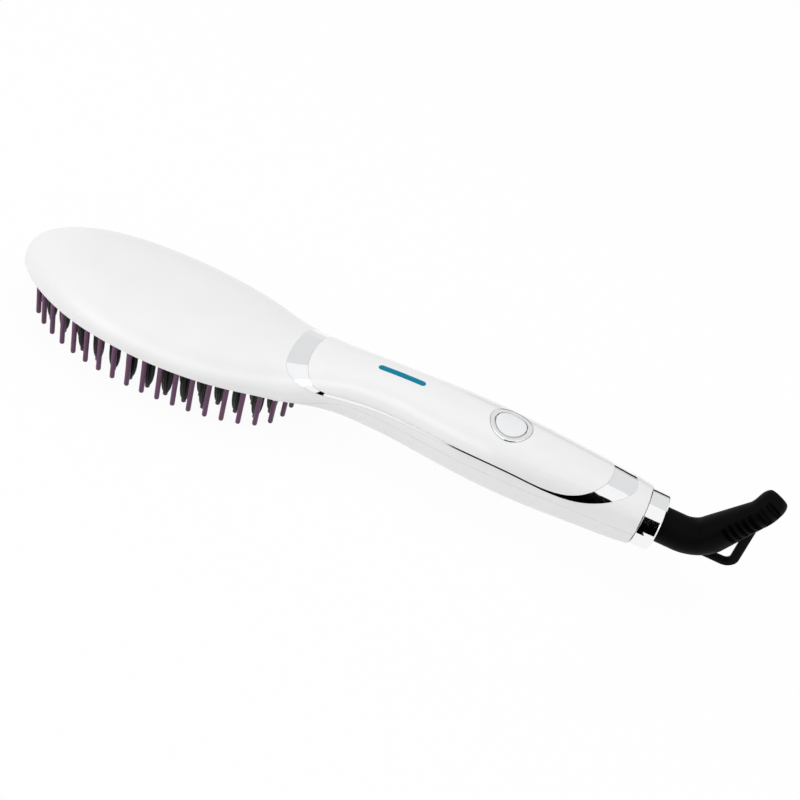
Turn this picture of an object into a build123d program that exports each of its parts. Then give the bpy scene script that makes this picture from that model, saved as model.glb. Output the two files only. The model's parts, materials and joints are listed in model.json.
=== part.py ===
from build123d import *
import os
from math import copysign, cos, pi, radians, sin

# Hair straightening brush. X runs from the tip of the head to the cord end, Z is up and the
# pins point down, so the brush stands on its pin tips at Z = 0. Sizes are in millimetres.
# The middle of the whole length is at X = 0, and all but the boot's tip is even about Y = 0.

# Overall sizes, worked out from the photograph
head_length = 122.0
head_width = 65.0
head_height = 15.1
handle_length = 155.0
grip_width = 32.4
grip_top = 23.2
grip_drop = 8.0
end_ring_length = 8.0
tail_reach = 38.5
pin_reach = 21.2
squareness = 2.28

# Walls and gaps of the shells
wall = 2.1
inlay_depth = 1.3
seat_gap = 0.05
seam_gap = 0.1
floor_thickness = 2.2
overrun = 6.0

# Bristle frame and the pins along it
pin_radius = 1.15
pin_socket_depth = 2.6
pin_tip_round = 0.45
press_gap = 0.02
frame_outset = 1.65
frame_inset = 1.65
lip_inset = 5.2
carrier_inset = 3.7
frame_height = 3.6
lip_thickness = 1.0
pin_count = 42

# Heater plate and its studs
plate_lift = 0.6
plate_thickness = 2.0
plate_gap = 0.2
stud_pitch_x = 8.2
stud_pitch_y = 8.4
stud_first = 10.9
stud_margin = 3.9
stud_width = 5.2
stud_depth = 4.4
stud_vane = 1.2
stud_core_radius = 1.15
stud_drop = 19.5
stud_shoulder_share = 0.94
stud_straight_share = 0.67
nub_radius = 1.05
nub_length = 2.0
nub_round = 0.5

# Pieces stacked above the heater plate
carrier_thickness = 1.4
carrier_foot_radius = 3.0
heater_length = 27.0
heater_width = 20.0
heater_thickness = 2.4
heater_spacing = 30.0
heater_middle = 69.0
window_length = 62.0
window_width = 24.0
mica_length = 56.0
mica_width = 26.0
mica_thickness = 0.4
clamp_length = 50.0
clamp_width = 10.0
clamp_thickness = 1.0
clamp_arm = 8.0
clamp_reach = 31.0
clamp_foot_radius = 2.1
clamp_margin = 0.7
fuse_radius = 1.5
fuse_length = 9.0
fuse_offset = 14.0
thermistor_radius = 1.7
thermistor_thickness = 1.3
fuse_edge_share = 0.25
thermistor_edge_share = 0.33

# Screws: shank radius, head radius, head height and length under the head
head_screw = (1.25, 2.2, 1.4, 10.5)
clamp_screw = (0.9, 1.6, 0.9, 2.6)
board_screw = (0.95, 1.8, 1.1, 5.0)
handle_screw = (1.3, 2.5, 1.6, 15.0)
screw_gap = 0.15
thread_gap = 0.02
recess_width = 0.5
recess_share = 0.5
screw_point_share = 0.33
head_post_radius = 3.0
board_post_radius = 2.3
column_radius = 3.6
handle_screw_seat = 4.0
front_column = 148.0
rear_column = 252.0

# Control board in the grip
board_front = 158.0
board_length = 88.0
board_width = 19.0
board_thickness = 1.6
board_height = 6.0
board_screw_inset = 5.0
board_screw_spread = 14.4
capacitor_x = 234.0
capacitor_size = (12.0, 7.0, 9.0)
triac_x = 200.0
triac_size = (10.0, 4.5, 8.0)
chip_x = 189.0
chip_size = (6.0, 5.0, 1.6)
board_fuse_x = 224.5
board_fuse_radius = 1.6
board_fuse_length = 8.0
component_edge_share = 0.125

# Button, its switch and the bezel round it
button_x = 216.3
button_radius = 6.6
button_gap = 0.1
button_rise = 0.25
button_skin = 2.0
button_wall = 1.3
button_flange_radius = 7.6
button_flange_drop = 3.9
button_flange_thickness = 0.9
button_stem_radius = 2.3
bezel_radius = 8.9
bezel_rise = 0.4
switch_size = 6.2
switch_height = 3.5
plunger_radius = 1.7
plunger_rise = 2.0
plunger_depth = 0.9
plunger_room = 1.1
plunger_gap = 0.05

# Indicator light
light_front = 160.2
light_span = 17.4
light_radius = 1.4
lens_gap = 0.05
pipe_radius = 2.4
pipe_drop = 2.6
pipe_pocket_radius = 1.6
pipe_pocket_height = 1.8
led_size = (2.0, 1.6, 1.2)
led_spacing = 6.0

# End ring and the swivel behind it
end_radius = 12.5
end_rise = 7.7
end_squareness = 2.1
ring_radius = 12.1
ring_gap = 0.3
ring_round = 0.8
ring_face = 1.5
ring_mouth_radius = 7.8
spigot_radius = 10.1
spigot_length = 7.0
socket_radius = 8.8
socket_gap = 0.1
socket_length = 21.4
socket_room_radius = 7.3
socket_floor = 2.0
cap_thickness = 2.0
neck_radius = 5.55
collar_radius = 7.2
collar_length = 2.4
running_gap = 0.05
barrel_radius = 5.0
wire_way_radius = 2.6
slip_ring_radius = 5.9
slip_ring_width = 2.2
slip_ring_places = (4.2, 8.2)
spring_width = 1.6
spring_thickness = 0.4
spring_length = 9.0
spring_gap = 0.15

# Cord boot and its hanging loop
boot_radius = 7.5
boot_tip_radius = 5.5
boot_bend_radius = 13.0
boot_turn_radius = 7.5
boot_tip_length = 6.0
boot_tip_round = 2.2
boot_neck_depth = 4.0
groove_pitch = 4.6
groove_width = 1.7
groove_core = 4.1
groove_spine = 3.4
groove_count = 5
cord_hole_radius = 3.0
cord_hole_depth = 6.0
loop_thickness = 2.8
loop_width = 3.0
loop_corner_radius = 3.8

# Wires
lead_radius = 0.8
lead_spread = 4.5
lead_run = 10.0
lead_bend = 2.0

head_tip_x = -(head_length + handle_length + end_ring_length + tail_reach) / 2
neck_x = head_tip_x + head_length
seam_x = neck_x + handle_length
ring_end_x = seam_x + end_ring_length
rim_z = pin_reach
axis_z = rim_z + end_rise

# Cross sections of the shell: place along the head, half width and height above the rim
head_section_shares = [
    (0.000, 0.095, 0.24),
    (0.005, 0.160, 0.35),
    (0.016, 0.268, 0.48),
    (0.041, 0.380, 0.64),
    (0.082, 0.508, 0.80),
    (0.140, 0.645, 0.92),
    (0.213, 0.773, 0.987),
    (0.295, 0.877, 1.000),
    (0.377, 0.942, 0.987),
    (0.541, 0.997, 0.960),
    (0.705, 0.966, 0.947),
    (0.869, 0.848, 0.940),
    (1.000, 0.692, 0.974),
]
# Below the rim the head's sections go on to a keel, which the flat rim cuts away
keel_share = 0.33
# Place along the handle, half width, top, widest line and underside
handle_section_shares = [
    (0.052, 1.250, 0.690, 0.043, 0.31),
    (0.090, 1.136, 0.741, 0.108, 0.38),
    (0.135, 1.000, 0.806, 0.198, 0.54),
    (0.181, 0.907, 0.862, 0.297, 0.65),
    (0.245, 0.864, 0.922, 0.341, 0.70),
    (0.323, 0.870, 0.966, 0.353, 0.73),
    (0.413, 0.938, 0.987, 0.353, 0.79),
    (0.523, 1.000, 1.000, 0.345, 0.90),
    (0.645, 0.988, 0.996, 0.332, 1.00),
    (0.774, 0.920, 0.968, 0.328, 0.93),
    (0.890, 0.852, 0.927, 0.330, 0.76),
]
section_steps = 20

# Edges of the chrome trim and of the panel in it, seen from the side: place along the handle
# and height above the rim
trim_edge_shares = [
    (0.005, 0.680),
    (0.026, 0.530),
    (0.050, 0.468),
    (0.088, 0.404),
    (0.136, 0.364),
    (0.187, 0.388),
    (0.258, 0.453),
    (0.374, 0.517),
    (0.523, 0.546),
    (0.671, 0.527),
    (0.774, 0.486),
    (0.832, 0.526),
    (0.884, 0.640),
    (0.929, 0.784),
    (0.974, 0.930),
]
panel_edge_shares = [
    (0.056, 0.760),
    (0.067, 0.677),
    (0.083, 0.590),
    (0.103, 0.491),
    (0.139, 0.427),
    (0.181, 0.448),
    (0.245, 0.504),
    (0.361, 0.552),
    (0.523, 0.574),
    (0.671, 0.555),
    (0.761, 0.530),
    (0.806, 0.578),
    (0.845, 0.694),
    (0.874, 0.828),
    (0.906, 0.996),
]
# The line between the two housings climbs from the rim to the middle of the handle
parting_shares = [(0.023, 0.000), (0.245, 0.345)]
ramp_shares = [(-0.020, 0.0), (0.084, 0.142)]

# Line of the outer pins, from the tip round one side to the rear: along and across the head
pin_line_shares = [
    (0.062, 0.000),
    (0.066, 0.140),
    (0.078, 0.275),
    (0.103, 0.410),
    (0.153, 0.549),
    (0.224, 0.677),
    (0.303, 0.776),
    (0.410, 0.855),
    (0.541, 0.892),
    (0.689, 0.868),
    (0.820, 0.794),
    (0.918, 0.677),
    (0.980, 0.560),
    (1.021, 0.394),
    (1.040, 0.203),
    (1.046, 0.000),
]
# Rows of studs: row number, first and last half step along it
stud_rows = [(0, 2, 26), (1, 1, 27), (2, 2, 26), (3, 7, 21)]
screw_steps = [(1, 5), (1, 23)]
outline_steps = 80

# Cord boot seen from the side, from the ring's end and the swivel's axis: corner and kink
boot_corner_share = 0.421
boot_kink_shares = (0.776, 0.655)
boot_turn = 38.0
groove_start_share = 0.25
loop_shares = [(0.365, -0.106), (0.846, -0.096), (0.812, 0.486)]


def along_head(x):
    """Where a place measured from the head's tip is."""
    return head_tip_x + x


def body_stations(inset):
    """The shell's cross sections, drawn in by inset: x, half width, top, widest, bottom, power."""
    length = seam_x - head_tip_x
    keel = keel_share * head_height
    rows = []
    for along, wide, high in head_section_shares:
        top = high * head_height
        depth = min(keel, top)
        rows.append((along * head_length, wide * head_width / 2, top, 0.0, -depth, squareness))
    for along, wide, high, waist, low in handle_section_shares:
        place = head_length + along * handle_length
        half = wide * grip_width / 2
        rows.append((place, half, high * grip_top, waist * grip_top, -low * grip_drop, squareness))
    end_top = end_rise + end_radius
    end_low = end_rise - end_radius
    rows.append((length, end_radius, end_top, end_rise, end_low, end_squareness))
    stations = []
    for place, half, top, waist, low, power in rows:
        x = head_tip_x + inset + place * (length - inset) / length
        stations.append(
            (x, half - inset, rim_z + top - inset, rim_z + waist, rim_z + low + inset, power)
        )
    return stations


def top_height(x):
    """Height of the shell's ridge at a place."""
    stations = body_stations(0)
    for before, after in zip(stations, stations[1:]):
        if before[0] <= x <= after[0]:
            share = (x - before[0]) / (after[0] - before[0])
            return before[2] + share * (after[2] - before[2])
    return stations[-1][2]


def superellipse(half_width, top, waist, bottom, power):
    """Points round a section, from its lowest point by way of the +Y side."""
    points = []
    for step in range(section_steps):
        angle = 2 * pi * step / section_steps - pi / 2
        across, up = cos(angle), sin(angle)
        y = copysign(abs(across) ** (2 / power), across) * half_width
        height = top - waist if up > 0 else waist - bottom
        points.append((y, waist + copysign(abs(up) ** (2 / power), up) * height))
    return points


def body_form(inset):
    """A solid of the whole outer form, drawn in by inset."""
    with BuildPart() as form:
        for x, half_width, top, waist, bottom, power in body_stations(inset):
            with BuildSketch(Plane.YZ.offset(x)):
                with BuildLine():
                    Spline(*superellipse(half_width, top, waist, bottom, power), periodic=True)
                make_face()
        loft()
    return form.part


def side_points(shares, drop):
    """Points of an edge seen from the side, let down by drop."""
    return [
        (neck_x + along * handle_length, rim_z + high * grip_top - drop) for along, high in shares
    ]


def above_edge(shares, drop):
    """Everything above an edge that is drawn on the side of the handle."""
    points = side_points(shares, drop)
    ceiling = rim_z + grip_top + overrun
    with BuildPart() as block:
        with BuildSketch(Plane.XZ):
            with BuildLine():
                Spline(*points)
                Polyline(points[-1], (points[-1][0], ceiling), (points[0][0], ceiling), points[0])
            make_face()
        extrude(amount=head_width, both=True)
    return block.part


with BuildLine() as pin_curve:
    near_side = [(head_tip_x + a * head_length, b * head_width / 2) for a, b in pin_line_shares]
    far_side = [(x, -y) for x, y in near_side[-2:0:-1]]
    Spline(*near_side, *far_side, periodic=True)
pin_line = pin_curve.edges()[0]


def bed_points(outset):
    """Points round the bed, at a distance outside the line of the pins."""
    points = []
    for step in range(outline_steps):
        spot = pin_line.position_at(step / outline_steps)
        along = pin_line.tangent_at(step / outline_steps)
        points.append((spot.X - outset * along.Y, spot.Y + outset * along.X))
    return points


def bed_half_width(x, outset):
    """Half width of the bed at a place, at a distance outside the line of the pins."""
    points = bed_points(outset)[: outline_steps // 2 + 1]
    for before, after in zip(points, points[1:]):
        if before[0] <= x <= after[0]:
            share = (x - before[0]) / (after[0] - before[0])
            return before[1] + share * (after[1] - before[1])
    return 0


def bed_face(outset):
    """A face of the bed's outline, at a distance outside the line of the pins."""
    with BuildSketch() as face:
        with BuildLine():
            Spline(*bed_points(outset), periodic=True)
        make_face()
    return face.sketch


def stud_place(row, step):
    """Where a stud stands: those near the bed's edge are moved in to keep a margin."""
    x = along_head(stud_first + step * stud_pitch_x / 2)
    y = min(abs(row) * stud_pitch_y, bed_half_width(x, -stud_margin))
    return (x, copysign(y, row))


def screw(size):
    """A cross-head screw under its head plane at Z = 0, pointing down."""
    shank_radius, head_radius, head_thickness, length = size
    with BuildPart() as body:
        with BuildSketch():
            Circle(head_radius)
        extrude(amount=head_thickness)
        with BuildSketch():
            Circle(shank_radius)
        extrude(amount=-length)
        chamfer(body.edges().sort_by(Axis.Z)[0], length=screw_point_share * shank_radius)
        with BuildSketch(Plane.XY.offset(head_thickness)):
            Rectangle(head_radius, recess_width)
            Rectangle(recess_width, head_radius)
        extrude(amount=-recess_share * head_thickness, mode=Mode.SUBTRACT)
    return body.part


outer_form = body_form(0)
under_inlay_form = body_form(inlay_depth)
seat_form = body_form(inlay_depth + seat_gap)
cavity_form = body_form(wall)
bezel_form = body_form(-bezel_rise)
button_form = body_form(-button_rise)

# Places used by more than one piece
stud_places = []
screw_places = []
for row, first_step, last_step in stud_rows:
    for step in range(first_step, last_step + 1, 2):
        for side in sorted({row, -row}):
            if (row, step) in screw_steps:
                screw_places.append(stud_place(side, step))
            else:
                stud_places.append(stud_place(side, step))
pin_places = []
for number in range(pin_count):
    distance = number * pin_line.length / pin_count
    spot = pin_line.position_at(distance, position_mode=PositionMode.LENGTH)
    pin_places.append((spot.X, spot.Y))
column_places = [(along_head(front_column), 0), (along_head(rear_column), 0)]
board_middle_x = along_head(board_front + board_length / 2)
board_under_z = rim_z + board_height
board_top_z = board_under_z + board_thickness
button_place_x = along_head(button_x)
light_middle_x = along_head(light_front + light_span / 2)
heater_middle_x = along_head(heater_middle)
plate_under_z = rim_z + plate_lift
plate_top_z = plate_under_z + plate_thickness
carrier_under_z = rim_z + frame_height
carrier_top_z = carrier_under_z + carrier_thickness
clamp_under_z = carrier_top_z + mica_thickness
clamp_top_z = clamp_under_z + clamp_thickness
frame_top_z = rim_z + frame_height
lip_under_z = frame_top_z - lip_thickness
ceiling_z = rim_z + grip_top + overrun
underside_z = rim_z - grip_drop - overrun
clamp_foot_y = clamp_reach / 2

# The hollow inside the shells, with the screw posts and the columns left standing in it
with BuildPart() as hollow:
    add(cavity_form)
    with BuildSketch(Plane.XY.offset(rim_z + floor_thickness)):
        with Locations(((head_tip_x + neck_x) / 2, 0)):
            Rectangle(head_length + 2 * (wall + overrun + pin_radius), head_width)
    extrude(amount=-grip_drop - floor_thickness, mode=Mode.SUBTRACT)
    with BuildSketch(Plane.XY.offset(carrier_top_z)):
        with Locations(*screw_places):
            Circle(head_post_radius)
    extrude(amount=head_height, mode=Mode.SUBTRACT)
    with BuildSketch(Plane.XY.offset(rim_z - grip_drop)):
        with Locations(*column_places):
            Circle(column_radius)
    extrude(amount=grip_top + grip_drop, mode=Mode.SUBTRACT)
    with BuildSketch(Plane.XY.offset(board_under_z)):
        with Locations((board_middle_x, 0)):
            with GridLocations(board_length - 2 * board_screw_inset, board_screw_spread, 2, 2):
                Circle(board_post_radius)
    extrude(amount=-board_height - grip_drop, mode=Mode.SUBTRACT)

# Everything above the line between the housings
parting = side_points(parting_shares, 0)
rear_edge = (seam_x + overrun, axis_z)
with BuildPart() as above_parting:
    with BuildSketch(Plane.XZ):
        with BuildLine():
            Line((head_tip_x - overrun, rim_z), parting[0])
            Spline(parting[0], parting[1], tangents=((1, 0), (1, 0)))
            Polyline(
                parting[1],
                rear_edge,
                (rear_edge[0], ceiling_z),
                (head_tip_x - overrun, ceiling_z),
                (head_tip_x - overrun, rim_z),
            )
        make_face()
    extrude(amount=head_width, both=True)


with BuildPart() as trim_recess:
    add(above_edge(trim_edge_shares, seam_gap))
    add(seat_form, mode=Mode.SUBTRACT)

with BuildPart() as upper_housing:
    add(outer_form)
    add(above_parting.part, mode=Mode.INTERSECT)
    add(trim_recess.part, mode=Mode.SUBTRACT)
    add(hollow.part, mode=Mode.SUBTRACT)
    with BuildSketch(Plane.XY.offset(frame_top_z + seat_gap)):
        add(bed_face(frame_outset + seam_gap))
    extrude(amount=-frame_height - overrun, mode=Mode.SUBTRACT)
    with BuildSketch(Plane.XY.offset(ceiling_z)):
        with Locations((button_place_x, 0)):
            Circle(button_radius + button_gap)
        with Locations((light_middle_x, 0)):
            SlotCenterToCenter(light_span, 2 * (light_radius + lens_gap))
    extrude(amount=-grip_top / 2 - overrun, mode=Mode.SUBTRACT)
    with BuildSketch(Plane.XY.offset(carrier_top_z)):
        with Locations(*screw_places):
            Circle(head_screw[0] + thread_gap)
    extrude(amount=head_screw[3] - carrier_top_z + plate_under_z + thread_gap, mode=Mode.SUBTRACT)
    with BuildSketch(Plane.XY.offset(rim_z)):
        with Locations(*column_places):
            Circle(handle_screw[0] + thread_gap)
    extrude(amount=handle_screw[3] - handle_screw_seat + thread_gap, mode=Mode.SUBTRACT)
upper_housing.part.label = "upper_housing"

with BuildPart() as lower_hollow:
    add(hollow.part)
    with BuildSketch(Plane.XY.offset(underside_z)):
        with Locations(((neck_x + seam_x) / 2, 0)):
            Rectangle(handle_length + 2 * overrun, head_width)
    extrude(amount=rim_z + grip_top / 2 - underside_z, mode=Mode.INTERSECT)

ramp = side_points(ramp_shares, 0)
ramp_low_z = 2 * rim_z - ramp[1][1]
ramp_share = (parting[0][0] - ramp[0][0]) / (ramp[1][0] - ramp[0][0])
lower_start = (parting[0][0], parting[0][1] - seam_gap)
lower_bend = (parting[1][0], parting[1][1] - seam_gap)
with BuildPart() as lower_housing:
    add(outer_form)
    with BuildSketch(Plane.XZ):
        with BuildLine():
            Spline(lower_start, lower_bend, tangents=((1, 0), (1, 0)))
            Polyline(
                lower_bend,
                (rear_edge[0], rear_edge[1] - seam_gap),
                (rear_edge[0], underside_z),
                (ramp[1][0], underside_z),
                (ramp[1][0], ramp_low_z),
                (parting[0][0], rim_z + ramp_share * (ramp_low_z - rim_z)),
                lower_start,
            )
        make_face()
    extrude(amount=head_width, both=True, mode=Mode.INTERSECT)
    add(lower_hollow.part, mode=Mode.SUBTRACT)
    with BuildSketch(Plane.XY.offset(rim_z - grip_drop)):
        add(bed_face(frame_outset + seam_gap))
    extrude(amount=grip_top, mode=Mode.SUBTRACT)
    with BuildSketch(Plane.XY.offset(rim_z - handle_screw_seat)):
        with Locations(*column_places):
            Circle(handle_screw[1] + screw_gap)
    extrude(amount=-grip_drop, mode=Mode.SUBTRACT)
    with BuildSketch(Plane.XY.offset(rim_z - handle_screw_seat)):
        with Locations(*column_places):
            Circle(handle_screw[0] + screw_gap)
    extrude(amount=grip_top, mode=Mode.SUBTRACT)
    with BuildSketch(Plane.XY.offset(board_under_z)):
        with Locations((board_middle_x, 0)):
            with GridLocations(board_length - 2 * board_screw_inset, board_screw_spread, 2, 2):
                Circle(board_screw[0] + thread_gap)
    extrude(amount=board_thickness - board_screw[3] - seam_gap, mode=Mode.SUBTRACT)
lower_housing.part.label = "lower_housing"

with BuildPart() as chrome_trim:
    add(above_edge(trim_edge_shares, 0))
    add(above_edge(panel_edge_shares, seam_gap), mode=Mode.SUBTRACT)
    add(outer_form, mode=Mode.INTERSECT)
    add(under_inlay_form, mode=Mode.SUBTRACT)
chrome_trim.part.label = "chrome_trim"

with BuildPart() as handle_panel:
    add(above_edge(panel_edge_shares, 0))
    add(outer_form, mode=Mode.INTERSECT)
    add(under_inlay_form, mode=Mode.SUBTRACT)
    with BuildSketch(Plane.XY.offset(ceiling_z)):
        with Locations((button_place_x, 0)):
            Circle(bezel_radius + seat_gap)
        with Locations((light_middle_x, 0)):
            SlotCenterToCenter(light_span, 2 * (light_radius + lens_gap))
    extrude(amount=-grip_top / 2 - overrun, mode=Mode.SUBTRACT)
handle_panel.part.label = "handle_panel"

with BuildPart() as button_bezel:
    with BuildSketch(Plane.XY.offset(axis_z)):
        with Locations((button_place_x, 0)):
            Circle(bezel_radius)
            Circle(button_radius + button_gap, mode=Mode.SUBTRACT)
    extrude(amount=grip_top)
    add(bezel_form, mode=Mode.INTERSECT)
    add(under_inlay_form, mode=Mode.SUBTRACT)
button_bezel.part.label = "button_bezel"

button_top_z = top_height(button_place_x)
flange_top_z = button_top_z - button_flange_drop
flange_under_z = flange_top_z - button_flange_thickness
switch_top_z = board_top_z + switch_height
plunger_top_z = switch_top_z + plunger_rise
with BuildPart() as power_button:
    with BuildSketch(Plane.XY.offset(flange_under_z)):
        with Locations((button_place_x, 0)):
            Circle(button_radius)
    extrude(amount=grip_top)
    add(button_form, mode=Mode.INTERSECT)
    with BuildSketch(Plane.XY.offset(flange_under_z)):
        with Locations((button_place_x, 0)):
            Circle(button_flange_radius)
    extrude(amount=button_flange_thickness)
    with BuildSketch(Plane.XY.offset(flange_under_z)):
        with Locations((button_place_x, 0)):
            Circle(button_radius - button_wall)
    extrude(amount=button_top_z - button_skin - flange_under_z, mode=Mode.SUBTRACT)
    with BuildSketch(Plane.XY.offset(plunger_top_z)):
        with Locations((button_place_x, 0)):
            Circle(button_stem_radius)
    extrude(amount=button_top_z - button_skin / 2 - plunger_top_z)
power_button.part.label = "power_button"

with BuildPart() as switch_plunger:
    with BuildSketch(Plane.XY.offset(switch_top_z - plunger_depth)):
        with Locations((button_place_x, 0)):
            Circle(plunger_radius)
    extrude(amount=plunger_depth + plunger_rise)
switch_plunger.part.label = "switch_plunger"

with BuildPart() as tact_switch:
    with BuildSketch(Plane.XY.offset(board_top_z)):
        with Locations((button_place_x, 0)):
            Rectangle(switch_size, switch_size)
    extrude(amount=switch_height)
    with BuildSketch(Plane.XY.offset(switch_top_z)):
        with Locations((button_place_x, 0)):
            Circle(plunger_radius + plunger_gap)
    extrude(amount=-plunger_depth - plunger_room, mode=Mode.SUBTRACT)
tact_switch.part.label = "tact_switch"

pipe_top_z = top_height(along_head(light_front)) - pipe_drop
with BuildPart() as indicator_lens:
    with BuildSketch(Plane.XY.offset(pipe_top_z)):
        with Locations((light_middle_x, 0)):
            SlotCenterToCenter(light_span, 2 * light_radius)
    extrude(amount=grip_top)
    add(outer_form, mode=Mode.INTERSECT)
indicator_lens.part.label = "indicator_lens"

with BuildPart() as light_pipe:
    with BuildSketch(Plane.XY.offset(board_top_z)):
        with Locations((light_middle_x, 0)):
            SlotCenterToCenter(light_span, 2 * pipe_radius)
    extrude(amount=pipe_top_z - board_top_z)
    with BuildSketch(Plane.XY.offset(board_top_z)):
        with Locations((light_middle_x, 0)):
            SlotCenterToCenter(light_span, 2 * pipe_pocket_radius)
    extrude(amount=pipe_pocket_height, mode=Mode.SUBTRACT)
light_pipe.part.label = "light_pipe"

with BuildPart() as indicator_leds:
    with BuildSketch(Plane.XY.offset(board_top_z)):
        with Locations((light_middle_x, 0)):
            with GridLocations(led_spacing, led_spacing, 3, 1):
                Rectangle(led_size[0], led_size[1])
    extrude(amount=led_size[2])
indicator_leds.part.label = "indicator_leds"

with BuildPart() as control_board:
    with BuildSketch(Plane.XY.offset(board_under_z)):
        with Locations((board_middle_x, 0)):
            RectangleRounded(board_length, board_width, board_post_radius)
            with GridLocations(board_length - 2 * board_screw_inset, board_screw_spread, 2, 2):
                Circle(board_screw[0] + screw_gap, mode=Mode.SUBTRACT)
    extrude(amount=board_thickness)
control_board.part.label = "control_board"

with BuildPart() as board_screws:
    with Locations((board_middle_x, 0, board_top_z)):
        with GridLocations(board_length - 2 * board_screw_inset, board_screw_spread, 2, 2):
            add(screw(board_screw))
board_screws.part.label = "board_screws"


def board_box(x, size):
    """A box standing on the board."""
    with BuildPart() as block:
        with Locations((along_head(x), 0, board_top_z)):
            Box(*size, align=(Align.CENTER, Align.CENTER, Align.MIN))
        chamfer(block.edges().filter_by(Axis.Z), length=component_edge_share * min(size))
    return block.part


with BuildPart() as x_capacitor:
    add(board_box(capacitor_x, capacitor_size))
x_capacitor.part.label = "x_capacitor"

with BuildPart() as triac:
    add(board_box(triac_x, triac_size))
triac.part.label = "triac"

with BuildPart() as controller_chip:
    add(board_box(chip_x, chip_size))
controller_chip.part.label = "controller_chip"

with BuildPart() as board_fuse:
    with Locations((along_head(board_fuse_x), 0, board_top_z + board_fuse_radius)):
        Cylinder(board_fuse_radius, board_fuse_length, rotation=(90, 0, 0))
board_fuse.part.label = "board_fuse"

with BuildPart() as handle_screws:
    for x, y in column_places:
        with Locations(Location((x, y, rim_z - handle_screw_seat), (180, 0, 0))):
            add(screw(handle_screw))
handle_screws.part.label = "handle_screws"

with BuildPart() as bristle_frame:
    with BuildSketch(Plane.XY.offset(rim_z)):
        add(bed_face(frame_outset))
    extrude(amount=frame_height)
    with BuildSketch(Plane.XY.offset(rim_z)):
        add(bed_face(-frame_inset))
    extrude(amount=frame_height - lip_thickness, mode=Mode.SUBTRACT)
    with BuildSketch(Plane.XY.offset(lip_under_z)):
        add(bed_face(-lip_inset))
    extrude(amount=lip_thickness, mode=Mode.SUBTRACT)
    with BuildSketch(Plane.XY.offset(rim_z)):
        with Locations(*pin_places):
            Circle(pin_radius + press_gap)
    extrude(amount=pin_socket_depth, mode=Mode.SUBTRACT)
bristle_frame.part.label = "bristle_frame"

with BuildPart() as outer_pins:
    with BuildSketch():
        with Locations(*pin_places):
            Circle(pin_radius)
    extrude(amount=rim_z + pin_socket_depth)
    fillet(outer_pins.faces().group_by(Axis.Z)[0].edges(), radius=pin_tip_round)
outer_pins.part.label = "outer_pins"

with BuildPart() as heater_plate:
    with BuildSketch(Plane.XY.offset(plate_under_z)):
        add(bed_face(-frame_inset - plate_gap))
        with Locations(*stud_places):
            Circle(stud_core_radius + press_gap, mode=Mode.SUBTRACT)
        with Locations(*screw_places):
            Circle(head_screw[0] + screw_gap, mode=Mode.SUBTRACT)
    extrude(amount=plate_thickness)
heater_plate.part.label = "heater_plate"

stud_low_z = plate_under_z - stud_drop


def stud_vane_outline(half_width):
    """One half of a vane's outline: straight sides that round in to the nub."""
    shoulder = (
        stud_shoulder_share * half_width,
        plate_under_z - stud_straight_share * stud_drop,
    )
    with BuildLine() as line:
        Polyline((0, plate_under_z), (half_width, plate_under_z), shoulder)
        Spline(shoulder, (nub_radius, stud_low_z), tangents=((0, -1), (-1, -1)))
        Line((nub_radius, stud_low_z), (0, stud_low_z))
        mirror(about=Plane.YZ)
    return line.line


with BuildPart() as stud:
    with BuildSketch(Plane.XZ):
        add(stud_vane_outline(stud_width / 2))
        make_face()
    extrude(amount=stud_vane / 2, both=True)
    with BuildSketch(Plane.YZ):
        add(stud_vane_outline(stud_depth / 2))
        make_face()
    extrude(amount=stud_vane / 2, both=True)
    with BuildSketch(Plane.XY.offset(stud_low_z)):
        Circle(stud_core_radius)
    extrude(amount=stud_drop + plate_thickness)

with BuildPart() as finned_studs:
    with Locations(*stud_places):
        add(stud.part)
finned_studs.part.label = "finned_studs"

with BuildPart() as stud_tips:
    with BuildSketch(Plane.XY.offset(stud_low_z - nub_length)):
        with Locations(*stud_places):
            Circle(nub_radius)
    extrude(amount=nub_length)
    fillet(stud_tips.faces().group_by(Axis.Z)[0].edges(), radius=nub_round)
stud_tips.part.label = "stud_tips"

with BuildPart() as carrier_plate:
    with BuildSketch(Plane.XY.offset(carrier_under_z)):
        add(bed_face(-carrier_inset))
        with Locations((heater_middle_x, 0)):
            RectangleRounded(window_length, window_width, lip_thickness, mode=Mode.SUBTRACT)
    extrude(amount=carrier_thickness)
    with BuildSketch(Plane.XY.offset(plate_top_z)):
        with Locations(*screw_places):
            Circle(carrier_foot_radius)
        with Locations((heater_middle_x, clamp_foot_y), (heater_middle_x, -clamp_foot_y)):
            Circle(clamp_foot_radius)
    extrude(amount=carrier_top_z - plate_top_z)
    with BuildSketch(Plane.XY.offset(plate_top_z)):
        with Locations(*screw_places):
            Circle(head_screw[0] + screw_gap)
    extrude(amount=carrier_top_z - plate_top_z, mode=Mode.SUBTRACT)
    with BuildSketch(Plane.XY.offset(carrier_top_z)):
        with Locations((heater_middle_x, clamp_foot_y), (heater_middle_x, -clamp_foot_y)):
            Circle(clamp_screw[0] + thread_gap)
    extrude(amount=plate_top_z - carrier_top_z + thread_gap, mode=Mode.SUBTRACT)
carrier_plate.part.label = "carrier_plate"

with BuildPart() as head_screws:
    for x, y in screw_places:
        with Locations(Location((x, y, plate_under_z), (180, 0, 0))):
            add(screw(head_screw))
head_screws.part.label = "head_screws"

with BuildPart() as ceramic_heaters:
    with BuildSketch(Plane.XY.offset(plate_top_z)):
        with Locations((heater_middle_x, 0)):
            with GridLocations(heater_spacing, heater_width, 2, 1):
                Rectangle(heater_length, heater_width)
    extrude(amount=heater_thickness)
ceramic_heaters.part.label = "ceramic_heaters"

with BuildPart() as mica_sheet:
    with BuildSketch(Plane.XY.offset(carrier_top_z)):
        with Locations((heater_middle_x, 0)):
            Rectangle(mica_length, mica_width)
    extrude(amount=mica_thickness)
mica_sheet.part.label = "mica_sheet"

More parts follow.
